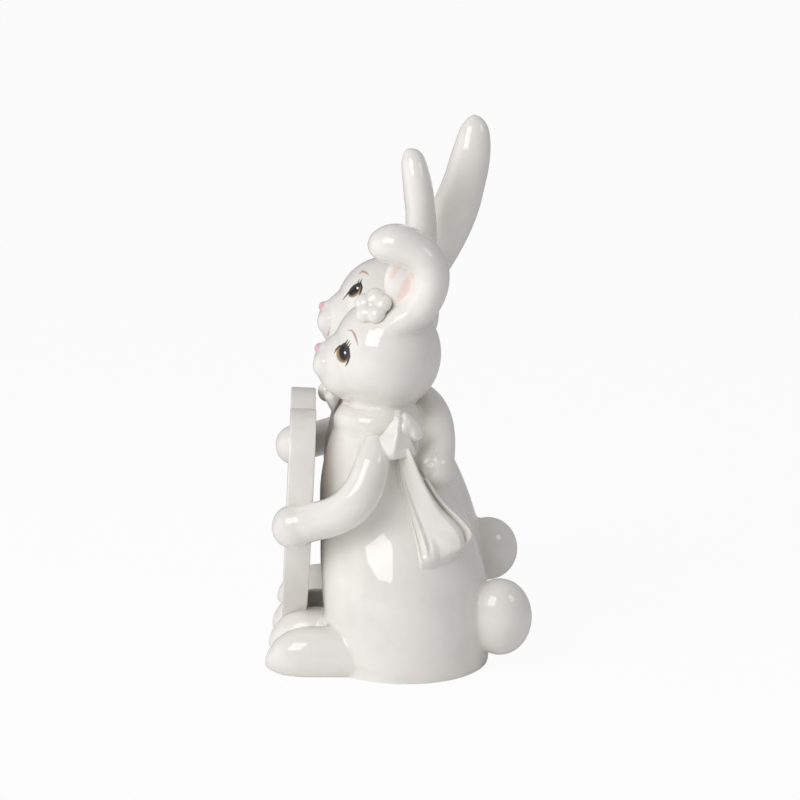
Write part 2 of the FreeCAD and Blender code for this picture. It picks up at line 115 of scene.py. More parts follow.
def egg(name, at, half, tilt=0.0):
    # a ball at its place, pressed and tilted
    dropSelection()
    bpy.ops.mesh.primitive_uv_sphere_add(radius=mm, location=Vector(at) * mm, **fine["ball"])
    piece = bpy.context.object
    piece.scale = half
    piece.rotation_euler = (math.radians(tilt), 0, 0)
    return settle(piece, name)


def faceOutward():
    bpy.ops.mesh.select_all(action="SELECT")
    bpy.ops.mesh.normals_make_consistent(inside=False)


def loft(name, stations, across, steps=fine["ring"]):
    # a disc extruded from ring to ring; stations are (center, half across, half thick)
    dropSelection()
    bpy.ops.mesh.primitive_circle_add(vertices=steps, radius=1, fill_type="NGON")
    piece = bpy.context.object
    bpy.ops.object.mode_set(mode="EDIT")
    bpy.ops.mesh.select_all(action="SELECT")
    side = Vector(across)
    old = Matrix.Identity(4)
    for place, (center, halfAcross, halfThick) in enumerate(stations):
        if place:
            bpy.ops.mesh.extrude_region_move()
        before = Vector(stations[max(place - 1, 0)][0])
        after = Vector(stations[min(place + 1, len(stations) - 1)][0])
        axis = (after - before).normalized()
        side = (side - axis * side.dot(axis)).normalized()
        up = axis.cross(side)
        new = Matrix((side * halfAcross, up * halfThick, axis)).transposed().to_4x4()
        new.translation = Vector(center)
        move = new @ old.inverted()
        work = bmesh.from_edit_mesh(piece.data)
        for vertex in work.verts:
            if vertex.select:
                vertex.co = move @ vertex.co
        bmesh.update_edit_mesh(piece.data)
        old = new
    faceOutward()
    bpy.ops.object.mode_set(mode="OBJECT")
    piece.scale = (mm, mm, mm)
    return settle(piece, name)


def cutAway(piece, tool):
    shapeWith(piece, "BOOLEAN", object=tool, operation="DIFFERENCE", solver="EXACT")
    bpy.data.objects.remove(tool)


def soften(piece, voxel, rounds):
    # made of small even faces and rounded, as thick glaze does it
    shapeWith(piece, "REMESH", mode="VOXEL", voxel_size=voxel * mm)
    shapeWith(piece, "SMOOTH", factor=fine["soften"], iterations=rounds)
    bpy.ops.object.shade_smooth()


def joinUp(parts):
    dropSelection()
    for part in parts:
        part.select_set(True)
    bpy.context.view_layer.objects.active = parts[0]
    bpy.ops.object.join()
    return bpy.context.object


# camera
camera = {"target": (0, 0, 103), "distance": 922.2, "elevation": 11.5, "lens": 100.0}


def placeCamera():
    rise = math.radians(camera["elevation"])
    back = Vector((math.cos(rise), 0, math.sin(rise)))
    bpy.ops.object.camera_add(location=(Vector(camera["target"]) + back * camera["distance"]) * mm)
    eye = bpy.context.object
    eye.rotation_euler = (-back).to_track_quat("-Z", "Y").to_euler()
    eye.data.lens = camera["lens"]
    scene.camera = eye


dropSelection()
placeCamera()
print("stage: camera placed")

# gowns
gown = {
    "doeHeight": 110.0,
    "buckHeight": 119.0,
    "halfDeep": 35.0,
    "halfWide": 37.0,
    "centerX": 25.0,
    "rows": [
        (0.00, -0.91, 0.97, 0.955),
        (0.03, -0.94, 1.035, 0.992),
        (0.08, -0.93, 1.055, 1.003),
        (0.18, -0.895, 1.05, 1.005),
        (0.27, -0.92, 1.02, 1.00),
        (0.36, -0.94, 0.94, 0.945),
        (0.455, -0.955, 0.83, 0.80),
        (0.545, -0.96, 0.69, 0.65),
        (0.655, -0.95, 0.47, 0.575),
        (0.76, -0.89, 0.34, 0.54),
        (0.855, -0.80, 0.25, 0.505),
        (0.945, -0.62, 0.08, 0.36),
        (1.00, -0.53, -0.02, 0.28),
    ],
    "buckWide": {
        0.18: 1.0, 0.27: 0.975, 0.36: 0.935, 0.455: 0.868, 0.545: 0.785, 0.655: 0.675, 0.76: 0.59,
    },
    "buckFront": {0.76: -0.86, 0.855: -0.74, 0.945: -0.54, 1.0: -0.46},
    "below": 3.0,
    "ring": 4.0,
    "recess": 1.2,
    "vent": {"at": 1.05, "radius": 5.0, "deep": 9.0},
}


def makeGown(name, side, height):
    # side 1 is the doe; the buck is wider at the hip and flatter at the throat
    # both start a little below the ground and are cut flat later
    rows = [list(row) for row in gown["rows"]]
    for row in rows:
        if side < 0:
            row[1] = gown["buckFront"].get(row[0], row[1])
            row[3] = gown["buckWide"].get(row[0], row[3])
    x = side * gown["centerX"]
    stations = []
    for high, front, back, wide in rowsBetween(rows, fine["between"]):
        middle = (front + back) / 2 * gown["halfDeep"]
        halfDeep = (back - front) / 2 * gown["halfDeep"]
        if not stations:
            stations.append(((x, middle, -gown["below"]), wide * gown["halfWide"], halfDeep))
        stations.append(((x, middle, high * height), wide * gown["halfWide"], halfDeep))
    return loft(name, stations, (1, 0, 0), fine["gownRing"])


def openUnderside(piece, side):
    # a shallow recess inside the foot ring, and the round vent of a hollow cast
    x = side * gown["centerX"]
    foot = gown["rows"][0]
    middle = (foot[1] + foot[2]) / 2 * gown["halfDeep"]
    halfDeep = (foot[2] - foot[1]) / 2 * gown["halfDeep"] - gown["ring"]
    halfWide = foot[3] * gown["halfWide"] - gown["ring"]
    low = -2 * gown["below"]
    rows = [((x, middle, low), halfWide, halfDeep), ((x, middle, gown["recess"]), halfWide, halfDeep)]
    dish = loft("dish", rows, (1, 0, 0), fine["gownRing"])
    # the block leaves the ring its width beside the plane where the bodies meet
    dropSelection()
    blockX = side * (gown["ring"] - gown["halfWide"])
    bpy.ops.mesh.primitive_cube_add(size=mm, location=(blockX * mm, 0, 0))
    block = bpy.context.object
    block.scale = (2 * gown["halfWide"], 4 * gown["halfDeep"], gown["doeHeight"])
    cutAway(dish, settle(block, "block"))
    cutAway(piece, dish)
    vent = gown["vent"]
    rows = [((x, vent["at"], high), vent["radius"], vent["radius"]) for high in (low, vent["deep"])]
    cutAway(piece, loft("vent", rows, (1, 0, 0)))


def gownSide(y, z):
    # where the doe's gown stands, on her left, at a depth and a height
    rows = gown["rows"]
    share = min(max(z / gown["doeHeight"], 0), 1)
    above = max(next(place for place, row in enumerate(rows) if row[0] >= share), 1)
    low, high = rows[above - 1], rows[above]
    part = (share - low[0]) / (high[0] - low[0])
    front, back, wide = [low[spot] + (high[spot] - low[spot]) * part for spot in (1, 2, 3)]
    middle = (front + back) / 2 * gown["halfDeep"]
    halfDeep = (back - front) / 2 * gown["halfDeep"]
    inside = max(1 - ((y - middle) / halfDeep) ** 2, 0)
    return gown["centerX"] + wide * gown["halfWide"] * math.sqrt(inside)


# each rabbit's side and the height of its gown
couple = {"doe": (1, gown["doeHeight"]), "buck": (-1, gown["buckHeight"])}
rawForms = {}
for owner, (side, height) in couple.items():
    body = makeGown(owner + "_body_raw", side, height)
    for way in (1, -1):
        openUnderside(body, way)
    rawForms[owner + "_body"] = body
print("stage: gowns shaped")

# heads
head = {
    "rise": 17.3,
    "lean": 5.4,
    "skull": (24.0, 22.0, 23.3),
    "snoutTilt": 4.0,
    "parts": {
        "snout": ((0, -10.6, -4.4), (15.8, 17.8, 15.6)),
        "cheekLeft": ((4.5, -23.5, -3.8), (6.2, 6.2, 6.2)),
        "cheekRight": ((-4.5, -23.5, -3.8), (6.2, 6.2, 6.2)),
        "chin": ((0, -20.0, -12.2), (4.8, 4.8, 4.8)),
        "nose": ((0, -26.8, 2.0), (3.6, 2.4, 2.4)),
        "neck": ((0, -3.0, -19.0), (12.0, 12.0, 8.0)),
    },
}


def headMiddle(side, height):
    return Vector((side * gown["centerX"], -head["lean"], height + head["rise"]))


def makeHead(name, middle):
    parts = [egg(name + "_skull", middle, head["skull"])]
    for part, (at, half) in head["parts"].items():
        tilt = head["snoutTilt"] if part == "snout" else 0
        parts.append(egg(name + "_" + part, middle + Vector(at), half, tilt))
    return parts


doeMiddle = headMiddle(*couple["doe"])
buckMiddle = headMiddle(*couple["buck"])
rawForms["doe_head"] = makeHead("doe_head_raw", doeMiddle)
rawForms["buck_head"] = makeHead("buck_head_raw", buckMiddle)
print("stage: heads shaped")

# ears
ear = {
    "rows": [
        (0.00, 0.72, 0.86, 0.00),
        (0.20, 0.86, 0.98, 0.60),
        (0.42, 1.00, 1.00, 1.00),
        (0.62, 0.95, 0.94, 1.00),
        (0.80, 0.80, 0.80, 0.60),
        (0.91, 0.60, 0.60, 0.20),
        (0.975, 0.34, 0.34, 0.00),
        (1.00, 0.12, 0.12, 0.00),
    ],
    "hollow": {"deep": 2.4, "wide": 0.95, "up": 0.60, "reach": 0.40},
    "doe": {
        "foot": (-11.0, 10.7, 10.5), "reach": (-3.6, -0.5, 70.4), "half": (9.5, 6.6), "bow": 3.4,
        "blunt": 0.45, "slim": 0,
    },
    "buckNear": {
        "foot": (11.0, 8.2, 7.9), "length": 80.8, "lean": 21.4, "half": (9.0, 9.5), "bow": 5.0,
        "blunt": 0.2, "slim": 0.25,
    },
    "buckFar": {
        "foot": (-11.0, 13.0, 7.9), "length": 72.5, "lean": 19.0, "half": (9.0, 7.4), "bow": 6.4,
        "blunt": 0, "slim": 0,
    },
    "splay": 2.0,
    "rootEnd": 0.4,
    "tipStart": 0.7,
    "tipEnd": 1.06,
    "tipRun": 0.12,
    "between": 4,
}
earBlush = {}


def makeEar(name, headAt, reach, values):
    # a leaf scooped out in front; a blunt tip is thicker, a slim root thinner than the rows say
    foot = headAt + Vector(values["foot"])
    halfWide, halfDeep = values["half"]
    stations = []
    for along, wide, deep, bow in rowsBetween(ear["rows"], ear["between"]):
        center = foot + reach * along + Vector((0, values["bow"] * bow, 0))
        if along > ear["tipStart"]:
            deep += (1 - deep) * values["blunt"] * min(1, (ear["tipEnd"] - along) / ear["tipRun"])
        elif along < ear["rootEnd"]:
            deep -= values["slim"] * (1 - along / ear["rootEnd"])
        stations.append((center, halfWide * wide, halfDeep * deep))
    leaf = loft(name, stations, (1, 0, 0))
    hollow = ear["hollow"]
    scoopRadius = halfWide * hollow["wide"]
    middle = foot + reach * hollow["up"] - Vector((0, halfDeep + scoopRadius - hollow["deep"], 0))
    scoopHalf = (scoopRadius, scoopRadius, reach.length * hollow["reach"])
    scoop = egg(name + "_scoop", middle, scoopHalf)
    turn = Vector((0, 0, 1)).rotation_difference(reach).to_matrix().to_4x4()
    scoop.data.transform(Matrix.Translation(middle * mm) @ turn @ Matrix.Translation(-middle * mm))
    cutAway(leaf, scoop)
    tilt = -math.degrees(math.atan2(reach.y, reach.z))
    earBlush[name.replace("_raw", "")] = (middle, scoopHalf, tilt)
    return leaf


values = ear["doe"]
rawForms["doe_ear_right"] = makeEar("doe_ear_right_raw", doeMiddle, Vector(values["reach"]), values)
for nodeName, key, way in (("buck_ear_left", "buckNear", 1), ("buck_ear_right", "buckFar", -1)):
    values = ear[key]
    lean = math.radians(values["lean"])
    length = values["length"]
    reach = Vector((way * ear["splay"], length * math.sin(lean), length * math.cos(lean)))
    rawForms[nodeName] = makeEar(nodeName + "_raw", buckMiddle, reach, values)

foldedEar = {
    "seat": (14.5, 8.6, 15.5),
    "leaf": {"at": (-3.2, -1.0, 14.5), "half": (5.0, 9.0, 12.0)},
    "rise": 31.0,
    "reach": 20.0,
    "radius": 8.0,
    "halfWide": 10.5,
    "rows": [
        (0.48, -0.16, 0.62, 0.62),
        (0.20, -0.03, 0.76, 0.72),
        (-0.12, 0.10, 0.86, 0.80),
        (-0.37, 0.32, 0.90, 0.90),
        (-0.45, 0.61, 0.93, 1.00),
        (-0.22, 0.86, 1.00, 1.03),
        (0.20, 0.975, 1.05, 1.00),
        (0.47, 0.955, 0.93, 0.88),
        (0.62, 0.905, 0.70, 0.66),
        (0.70, 0.87, 0.44, 0.42),
        (0.73, 0.855, 0.14, 0.14),
    ],
}
earSeat = doeMiddle + Vector(foldedEar["seat"])
stations = []
for forward, rise, roll, wide in rowsBetween(foldedEar["rows"], fine["between"]):
    place = earSeat + Vector((0, -forward * foldedEar["reach"], rise * foldedEar["rise"]))
    stations.append((place, wide * foldedEar["halfWide"], roll * foldedEar["radius"]))
leaf = foldedEar["leaf"]
rawForms["doe_ear_left"] = [
    loft("doe_ear_left_raw", stations, (1, 0, 0)),
    egg("doe_ear_left_leaf", earSeat + Vector(leaf["at"]), leaf["half"]),
]
print("stage: ears shaped")

# heart
heart = {
    "halfWide": 46.0,
    "top": 104.0,
    "tip": 7.0,
    "widest": 80.0,
    "notch": 89.0,
    "thick": 10.4,
    "rim": 2.4,
    "inset": 0.8,
    "standOff": 43.3,
    "lean": 3.0,
    "turn": 2.4,
    "arcSteps": 40,
    "rimSteps": 5,
    "rimAngle": 60,
    "flatCorners": 20,
    "shadeAngle": 40,
}


def heartEdge(height):
    # how far out the heart reaches below its widest place
    drop = heart["widest"] - heart["tip"]
    bend = (heart["halfWide"] ** 2 + drop ** 2) / (2 * heart["halfWide"])
    return heart["halfWide"] - bend + math.sqrt(bend ** 2 - (heart["widest"] - height) ** 2)


def heartLean(height):
    # how far forward the leaning heart stands
    return -heart["standOff"] + math.tan(math.radians(heart["lean"])) * (height - heart["widest"] / 2)


# arms
arm = {
    "rows": [
        (0.00, 0.00, 0.00, 0.80),
        (0.15, 0.45, 0.72, 0.93),
        (0.31, 0.85, 0.98, 1.00),
        (0.485, 1.00, 1.00, 1.03),
        (0.66, 0.85, 0.78, 1.00),
        (0.82, 0.46, 0.45, 0.98),
        (1.00, 0.00, 0.00, 0.98),
    ],
    "hugRows": [
        (0.00, 0.00, 0.00, 0.90),
        (0.20, 0.66, 0.50, 0.97),
        (0.42, 0.96, 0.88, 1.00),
        (0.64, 0.95, 1.00, 1.00),
        (0.84, 0.60, 0.70, 1.02),
        (1.00, 0.00, 0.00, 1.05),
    ],
    "radius": 7.9,
    "paw": 9.0,
    "pawOut": 3.0,
    "buckPawForward": 4.2,
    "elbowDrop": 9.2,
    "elbowOut": 8.6,
    "hugRadius": 7.2,
    "hugPaw": 8.4,
    "doePawHeight": 61.0,
    "buckPawHeight": 73.0,
    "holdingShoulder": (0.46, -0.26, 0.86),
    "huggingShoulder": (0.40, 0.00, 0.88),
    "hugEnd": (38.0, 14.0, 82.8),
    "hugBend": (0, 5.5, 0),
    "hugRise": (0, 0, 8.0),
    "backEnd": (-25, 8.5, 79),
    "backBend": (0, 2, 0),
}


def shoulder(side, height, outward, shares):
    # outward 1 is the side away from the partner
    out, back, high = shares
    x = side * gown["centerX"] + side * outward * out * gown["halfWide"]
    return Vector((x, back * gown["halfDeep"], high * height))


def bentLimb(name, start, end, firstWay, secondWay, rows, radius, across):
    # a limb that leaves its straight line by two ways, as its rows say
    stations = []
    for along, first, second, thick in rowsBetween(rows, fine["between"]):
        center = start + (end - start) * along + firstWay * first + secondWay * second
        stations.append((center, radius * thick, radius * thick))
    return loft(name, stations, across)


def holdingArm(name, side, height, pawHeight, forward):
    start = shoulder(side, height, 1, arm["holdingShoulder"])
    end = Vector((side * (heartEdge(pawHeight) + arm["pawOut"]), heartLean(pawHeight) - forward, pawHeight))
    drop = arm["elbowDrop"] / math.sqrt(2)
    elbow = Vector((0, drop, -drop))
    outward = Vector((side * arm["elbowOut"], 0, 0))
    limb = bentLimb(name, start, end, elbow, outward, arm["rows"], arm["radius"], (1, 0, 0))
    return [limb, egg(name + "_paw", end, (arm["paw"],) * 3)]


def huggingArm(name, side, height, end, bend, rise):
    start = shoulder(side, height, -1, arm["huggingShoulder"])
    end = Vector(end)
    limb = bentLimb(name, start, end, Vector(bend), Vector(rise), arm["hugRows"], arm["hugRadius"], (0, 1, 0))
    return [limb, egg(name + "_paw", end, (arm["hugPaw"],) * 3)]


rawForms["doe_arm_left"] = holdingArm("doe_arm_left_raw", *couple["doe"], arm["doePawHeight"], 0)
rawForms["buck_arm_right"] = holdingArm(
    "buck_arm_right_raw", *couple["buck"], arm["buckPawHeight"], arm["buckPawForward"])
rawForms["buck_arm_left"] = huggingArm(
    "buck_arm_left_raw", *couple["buck"], arm["hugEnd"], arm["hugBend"], arm["hugRise"])
rawForms["doe_arm_right"] = huggingArm(
    "doe_arm_right_raw", *couple["doe"], arm["backEnd"], arm["backBend"], (0, 0, 0))
print("stage: arms shaped")

# feet and tails
foot = {
    "halfWide": 10.6,
    "length": 42.0,
    "crest": 18.5,
    "sink": 1.6,
    "toe": 51.5,
    "rows": [
        (0.00, 0.12, 0.22),
        (0.02, 0.42, 0.38),
        (0.07, 0.70, 0.60),
        (0.17, 0.92, 0.86),
        (0.32, 1.00, 1.00),
        (0.56, 1.00, 1.00),
        (0.80, 1.00, 0.96),
        (1.00, 0.96, 0.80),
    ],
    "places": {
        "doe_foot_left": 44.5, "doe_foot_right": 17.5, "buck_foot_left": -9.5, "buck_foot_right": -48.5,
    },
}
for nodeName, x in foot["places"].items():
    stations = []
    for back, wide, high in rowsBetween(foot["rows"], fine["between"]):
        crest = foot["crest"] * high
        center = (x, -foot["toe"] + back * foot["length"], crest / 2 - foot["sink"])
        stations.append((center, foot["halfWide"] * wide, crest / 2 + foot["sink"]))
    rawForms[nodeName] = loft(nodeName + "_raw", stations, (1, 0, 0))
tail = {
    "doe_tail": ((38.5, 40.4, 21.3), (12.4, 13.1, 15.8)),
    "buck_tail": ((-25.0, 38.0, 32.6), (12.8, 12.8, 13.6)),
}
for nodeName, (at, half) in tail.items():
    rawForms[nodeName] = egg(nodeName + "_raw", at, half)
print("stage: feet and tails shaped")

# scarf
scarf = {
    "band": {
        "at": (25.0, -8.7, 99.6), "radius": 14.6, "half": (3.4, 7.0), "fold": 0.10, "folds": 3,
        "wander": 0.7, "steps": {"major_segments": 144, "minor_segments": 40},
    },
    "voxel": 0.5,
    "smooth": 22,
    "frontLoop": [
        ((46.5, -0.6, 106.0), 1.6, 1.6),
        ((46.8, -0.9, 102.8), 3.2, 3.4),
        ((47.1, -1.2, 98.8), 5.0, 5.6),
        ((47.4, -2.0, 94.6), 6.4, 8.4),
        ((47.4, -2.6, 92.0), 6.4, 9.6),
        ((47.2, -2.8, 90.0), 4.8, 7.4),
        ((47.0, -2.6, 88.9), 2.4, 4.0),
    ],
    "rearLoop": [
        ((45.0, 1.2, 107.0), 1.6, 1.2),
        ((45.0, 2.4, 105.0), 3.0, 2.6),
        ((45.0, 4.2, 101.8), 3.8, 3.8),
        ((45.0, 5.8, 98.6), 4.2, 4.4),
        ((45.0, 6.8, 96.4), 3.2, 3.4),
        ((45.0, 7.3, 95.2), 1.2, 1.6),
    ],
    "knot": {"at": (46.6, 1.6, 101.0), "half": (3.2, 2.4, 3.6)},
}


def makeBand():
    # a flat ring of cloth, with folds that wander round it
    band = scarf["band"]
    dropSelection()
    bpy.ops.mesh.primitive_torus_add(major_radius=band["radius"], minor_radius=1, **band["steps"])
    piece = bpy.context.object
    for vertex in piece.data.vertices:
        around = math.atan2(vertex.co.y, vertex.co.x)
        middle = Vector((math.cos(around), math.sin(around), 0)) * band["radius"]
        away = vertex.co - middle
        outward = away.dot(middle) / band["radius"]
        turn = math.atan2(away.z, outward)
        wander = band["wander"] * math.sin(2 * around)
        grow = 1 + band["fold"] * math.cos(band["folds"] * turn + wander)
        vertex.co = middle * (1 + outward * grow * band["half"][0] / band["radius"])
        vertex.co.z = away.z * grow * band["half"][1]
    piece.data.transform(Matrix.Translation(band["at"]))
    piece.scale = (mm, mm, mm)
    return settle(piece, "scarf_band_raw")


rawForms["scarf_band"] = makeBand()
rawForms["scarf_loop_rear"] = loft("scarf_loop_rear_raw", scarf["rearLoop"], (1, 0, 0), fine["ridged"])
rawForms["scarf_knot"] = egg("scarf_knot_raw", scarf["knot"]["at"], scarf["knot"]["half"])
print("stage: scarf band shaped")

# glaze
glaze = {
    "light": (0.90, 0.87, 0.825, 1),
    "dark": (0.83, 0.795, 0.75, 1),
    "spread": (0.3, 0.6),
    "roughness": (0.02, 0.05),
    "bend": 1.5,
    "coat": 0.7,
    "coatRoughness": 0.02,
    "mottle": {"Scale": 55.0, "Detail": 4.0, "Roughness": 0.55},
    "ripple": {"Scale": 160.0, "Detail": 2.0},
    "rippleStrength": 0.04,
    "rippleHeight": 0.4,
    "paintCoat": 0.05,
    "paleFrom": 0.4,
    "faceFrom": 12.0,
}


def newMaterial(name):
    material = bpy.data.materials.new(name)
    material.use_nodes = True
    tree = material.node_tree
    return material, tree, tree.nodes["Principled BSDF"]


def feed(tree, socket, value):
    # the value is a bare one, or what another node gives
    if hasattr(value, "links"):
        tree.links.new(value, socket)
    else:
        socket.default_value = value


def addNode(tree, kind, **inputs):
    node = tree.nodes.new(kind)
    for key, value in inputs.items():
        feed(tree, node.inputs[key.replace("_", " ")], value)
    return node


def scalar(tree, operation, first, second=0.0, clamp=False):
    node = tree.nodes.new("ShaderNodeMath")
    node.operation = operation
    node.use_clamp = clamp
    feed(tree, node.inputs[0], first)
    feed(tree, node.inputs[1], second)
    return node.outputs[0]


def vector(tree, operation, first, second=(0, 0, 0)):
    node = tree.nodes.new("ShaderNodeVectorMath")
    node.operation = operation
    feed(tree, node.inputs[0], first)
    feed(tree, node.inputs["Scale" if operation == "SCALE" else 1], second)
    return node.outputs["Value" if operation in ("LENGTH", "DOT_PRODUCT") else "Vector"]


def blend(tree, share, first, second):
    # one colour laid over another
    node = tree.nodes.new("ShaderNodeMix")
    node.data_type = "RGBA"
    feed(tree, node.inputs[0], share)
    feed(tree, node.inputs[6], first)
    feed(tree, node.inputs[7], second)
    return node.outputs[2]


def spotReach(tree, place, spot):
    # how far outside a pressed ball a place lies; the ball tilts about X
    tilt = math.radians(spot["tilt"])
    wide, deep, high = spot["half"]
    away = vector(tree, "SUBTRACT", place, spot["at"])
    ways = [
        (1 / wide, 0, 0),
        (0, math.cos(tilt) / deep, math.sin(tilt) / deep),
        (0, -math.sin(tilt) / high, math.cos(tilt) / high),
    ]
    join = tree.nodes.new("ShaderNodeCombineXYZ")
    for socket, way in zip(join.inputs, ways):
        tree.links.new(vector(tree, "DOT_PRODUCT", away, way), socket)
    length = vector(tree, "LENGTH", join.outputs[0])
    return scalar(tree, "MULTIPLY", scalar(tree, "SUBTRACT", length, 1.0), min(deep, high))


def strokeReach(tree, place, stroke):
    # how far outside a brush line a place lies; the line goes from point to point and changes its width
    reach = None
    points = [Vector(point) for point in stroke["points"]]
    widths = stroke["widths"]
    for count in range(len(points) - 1):
        step = points[count + 1] - points[count]
        away = vector(tree, "SUBTRACT", place, tuple(points[count]))
        share = vector(tree, "DOT_PRODUCT", away, tuple(step / step.length_squared))
        share = scalar(tree, "MULTIPLY", share, 1.0, clamp=True)
        along = vector(tree, "SCALE", tuple(step), share)
        far = vector(tree, "LENGTH", vector(tree, "SUBTRACT", away, along))
        wide = scalar(tree, "MULTIPLY", share, widths[count + 1] - widths[count])
        edge = scalar(tree, "SUBTRACT", scalar(tree, "SUBTRACT", far, wide), widths[count])
        reach = edge if reach is None else scalar(tree, "MINIMUM", reach, edge)
    return reach


def paintOver(tree, color, paints, middle):
    # brush paint over the glaze's colour, in millimetres from a middle and alike on both sides of it
    place = tree.nodes.new("ShaderNodeTexCoord").outputs["Object"]
    place = vector(tree, "SUBTRACT", vector(tree, "SCALE", place, 1 / mm), tuple(middle))
    parts = tree.nodes.new("ShaderNodeSeparateXYZ")
    tree.links.new(place, parts.inputs[0])
    join = tree.nodes.new("ShaderNodeCombineXYZ")
    tree.links.new(scalar(tree, "ABSOLUTE", parts.outputs[0]), join.inputs[0])
    for axis in (1, 2):
        tree.links.new(parts.outputs[axis], join.inputs[axis])
    seen = {
        "all": join.outputs[0],
        "side": vector(tree, "MULTIPLY", join.outputs[0], (0, 1, 1)),
        "front": vector(tree, "MULTIPLY", join.outputs[0], (1, 0, 1)),
    }
    facing = scalar(tree, "ADD", parts.outputs[1], glaze["faceFrom"])
    facing = scalar(tree, "MULTIPLY", facing, -1.0, clamp=True)
    for paint in paints:
        place = seen[paint["seen"]]
        reach = strokeReach(tree, place, paint) if "points" in paint else spotReach(tree, place, paint)
        mask = scalar(tree, "SUBTRACT", 0.5, scalar(tree, "DIVIDE", reach, paint["soft"]), clamp=True)
        mask = scalar(tree, "MULTIPLY", mask, paint["strength"])
        if paint["seen"] == "front":
            mask = scalar(tree, "MULTIPLY", mask, facing)
        color = blend(tree, mask, color, paint["color"])
    return color


def makeGlaze(name, paints=(), middle=(0, 0, 0)):
    material, tree, shader = newMaterial(name)
    place = tree.nodes.new("ShaderNodeTexCoord").outputs["Object"]
    mottle = addNode(tree, "ShaderNodeTexNoise", Vector=place, **glaze["mottle"]).outputs["Fac"]
    low, high = glaze["spread"]
    spread = addNode(tree, "ShaderNodeMapRange", Value=mottle, From_Min=low, From_Max=high)
    color = blend(tree, spread.outputs["Result"], glaze["dark"], glaze["light"])
    if paints:
        color = paintOver(tree, color, paints, middle)
    tree.links.new(color, shader.inputs["Base Color"])
    low, high = glaze["roughness"]
    gloss = addNode(tree, "ShaderNodeMapRange", Value=mottle, To_Min=low, To_Max=high)
    tree.links.new(gloss.outputs["Result"], shader.inputs["Roughness"])
    ripple = addNode(tree, "ShaderNodeTexNoise", Vector=place, **glaze["ripple"])
    bump = addNode(tree, "ShaderNodeBump", Height=ripple.outputs["Fac"], Strength=glaze["rippleStrength"],
                   Distance=glaze["rippleHeight"] * mm)
    tree.links.new(bump.outputs["Normal"], shader.inputs["Normal"])
    shader.inputs["IOR"].default_value = glaze["bend"]
    shader.inputs["Coat Weight"].default_value = glaze["coat"]
    shader.inputs["Coat Roughness"].default_value = glaze["coatRoughness"]
    if paints:
        # dark paint lies less glossy than the glaze round it
        depth = tree.nodes.new("ShaderNodeRGBToBW")
        tree.links.new(color, depth.inputs[0])
        cover = addNode(tree, "ShaderNodeMapRange", Value=depth.outputs[0], From_Max=glaze["paleFrom"],
                        To_Min=glaze["paintCoat"], To_Max=glaze["coat"])
        tree.links.new(cover.outputs["Result"], shader.inputs["Coat Weight"])
    return material


whiteGlaze = makeGlaze("whiteGlaze")
paintColor = {
    "lid": (0.035, 0.028, 0.026, 1),
    "pupil": (0.010, 0.008, 0.008, 1),
    "iris": (0.30, 0.17, 0.08, 1),
    "irisLight": (0.52, 0.36, 0.20, 1),
    # glint is the colour of a painted highlight: a small white dot on the pupil
    "glint": (0.88, 0.88, 0.86, 1),
    "brow": (0.47, 0.27, 0.19, 1),
    "nose": (0.80, 0.47, 0.55, 1),
    "mouth": (0.52, 0.24, 0.20, 1),
    "blush": (0.90, 0.70, 0.63, 1),
}


def layer(color, soft, seen, strength, **form):
    return {"color": paintColor[color], "soft": soft, "seen": seen, "strength": strength, **form}


def brush(color, points, widths, soft=0.28, seen="side", strength=1.0):
    # a brush line; points are (forward or outward, up)
    if seen == "side":
        points = [(0, first, up) for first, up in points]
    else:
        points = [(first, 0, up) for first, up in points]
    return layer(color, soft, seen, strength, points=points, widths=widths)


def dab(color, at, half, tilt=0.0, soft=0.3, seen="side", strength=1.0):
    # a pressed ball of paint
    return layer(color, soft, seen, strength, at=at, half=half, tilt=tilt)


